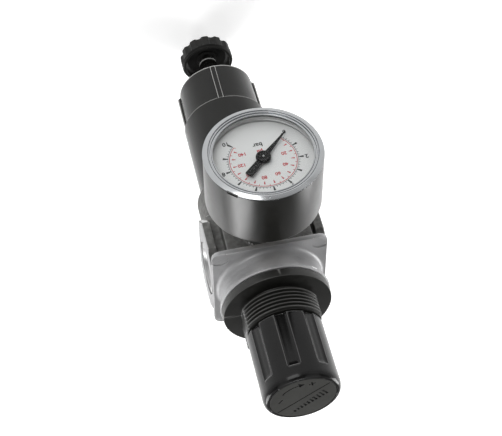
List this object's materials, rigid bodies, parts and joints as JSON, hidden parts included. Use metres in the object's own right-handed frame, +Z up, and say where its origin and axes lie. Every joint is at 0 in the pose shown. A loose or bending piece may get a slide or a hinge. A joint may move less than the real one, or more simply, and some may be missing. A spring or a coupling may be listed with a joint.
{
  "type": "air pressure regulator",
  "caption": "Compressed-air filter regulator: square die-cast body with two threaded side ports, adjusting knob on top, round front gauge, hanging black bowl with a scalloped drain knob.",
  "frame": {"origin": "where the port axis crosses the main axis, in the middle of the body", "axes": "+Z up the main axis to the adjusting knob, -Y out through the gauge's face, +X along the port axis to the outlet"},
  "size_m": [0.0428, 0.0848, 0.17],
  "materials": {
    "cast_metal": "satin die-cast",
    "black_plastic": "moulded, satin",
    "gloss_black": "gloss",
    "satin_black": "satin paint",
    "matte_black": "moulded, matte",
    "natural_plastic": "moulded",
    "filter_media": "sintered",
    "brass": "machined",
    "steel": "zinc plated",
    "chrome": "polished",
    "rubber": "matte",
    "fibre": "fibre washer",
    "clear": "clear",
    "dial_white": "matte print"
  },
  "bodies": {
    "housing": {"body": "cast_metal", "bonnet": "black_plastic", "valve_seat": "brass", "valve_guide": "natural_plastic", "swirl_deflector": "natural_plastic", "filter_element": "filter_media", "baffle_plate": "natural_plastic", "gauge_case": "satin_black", "gauge_ring": "chrome", "gauge_lens": "clear", "gauge_dial": "dial_white", "gauge_socket": "brass", "gauge_seal": "fibre", "movement_plate": "brass", "bourdon_tube": "brass", "rear_plug": "steel", "plug_seal": "rubber", "regulating_spring": "steel", "valve_spring": "steel"},
    "spindle": {"adjusting_spindle": "brass", "spindle_ring": "steel"},
    "knob": {"adjusting_knob": "gloss_black", "knob_end_disc": "satin_black"},
    "nut": {"spring_nut": "brass"},
    "piston_unit": {"piston": "natural_plastic", "piston_seal": "rubber", "relief_seat": "rubber"},
    "poppet_unit": {"valve_poppet": "brass", "valve_seal": "rubber"},
    "bowl_gasket": {"bowl_seal": "rubber"},
    "bowl_unit": {"bowl": "black_plastic"},
    "drain_gasket": {"drain_seal": "rubber"},
    "drain_unit": {"drain_stem": "matte_black", "drain_knob": "matte_black"},
    "pointer_unit": {"gauge_pointer": "satin_black", "pointer_arbor": "brass"},
    "sector_unit": {"sector_gear": "brass"}
  },
  "joints": [
    {"name": "spindle_turn", "type": "hinge", "parent": "housing", "child": "spindle", "pos_m": [0, 0, 0.05], "axis": [0, 0, 1], "range_deg": [-1442, 0]},
    {"name": "knob_lift", "type": "slide", "parent": "spindle", "child": "knob", "axis": [0, 0, 1], "range_m": [0, 0.003]},
    {"name": "nut_slide", "type": "slide", "parent": "housing", "child": "nut", "axis": [0, 0, -1], "range_m": [0, 0.005], "deforming": ["regulating_spring"]},
    {"name": "piston_slide", "type": "slide", "parent": "housing", "child": "piston_unit", "axis": [0, 0, -1], "range_m": [0, 0.001], "stiffness_N_per_m": 800, "springref_m": -0.002},
    {"name": "poppet_slide", "type": "slide", "parent": "housing", "child": "poppet_unit", "axis": [0, 0, -1], "range_m": [0, 0.00105], "deforming": ["valve_spring"]},
    {"name": "bowl_lower", "type": "slide", "parent": "housing", "child": "bowl_gasket", "axis": [0, 0, -1], "range_m": [0, 0.006]},
    {"name": "bowl_turn", "type": "hinge", "parent": "bowl_gasket", "child": "bowl_unit", "pos_m": [0, 0, -0.05], "axis": [0, 0, 1], "range_deg": [-1442, 0]},
    {"name": "drain_raise", "type": "slide", "parent": "bowl_unit", "child": "drain_gasket", "axis": [0, 0, 1], "range_m": [0, 0.002]},
    {"name": "drain_turn", "type": "hinge", "parent": "drain_gasket", "child": "drain_unit", "pos_m": [0, 0, -0.1], "axis": [0, 0, 1], "range_deg": [-722, 0]},
    {"name": "pointer_turn", "type": "hinge", "parent": "housing", "child": "pointer_unit", "pos_m": [0, -0.05, 0], "axis": [0, 1, 0], "range_deg": [0, 270], "stiffness_Nm_per_rad": 0.0001, "springref_deg": -28.65},
    {"name": "sector_turn", "type": "hinge", "parent": "housing", "child": "sector_unit", "pos_m": [0, -0.045, -0.0065], "axis": [0, 1, 0], "range_deg": [-63.5, 0]}
  ],
  "couplings": [
    {"joint": "spindle_turn", "follows": "nut_slide", "rad_per_m": -5026.5},
    {"joint": "poppet_slide", "follows": "piston_slide", "ratio": 1},
    {"joint": "bowl_turn", "follows": "bowl_lower", "rad_per_m": -4188.8},
    {"joint": "drain_turn", "follows": "drain_raise", "rad_per_m": -6283.2},
    {"joint": "sector_turn", "follows": "pointer_turn", "ratio": -0.233}
  ]
}
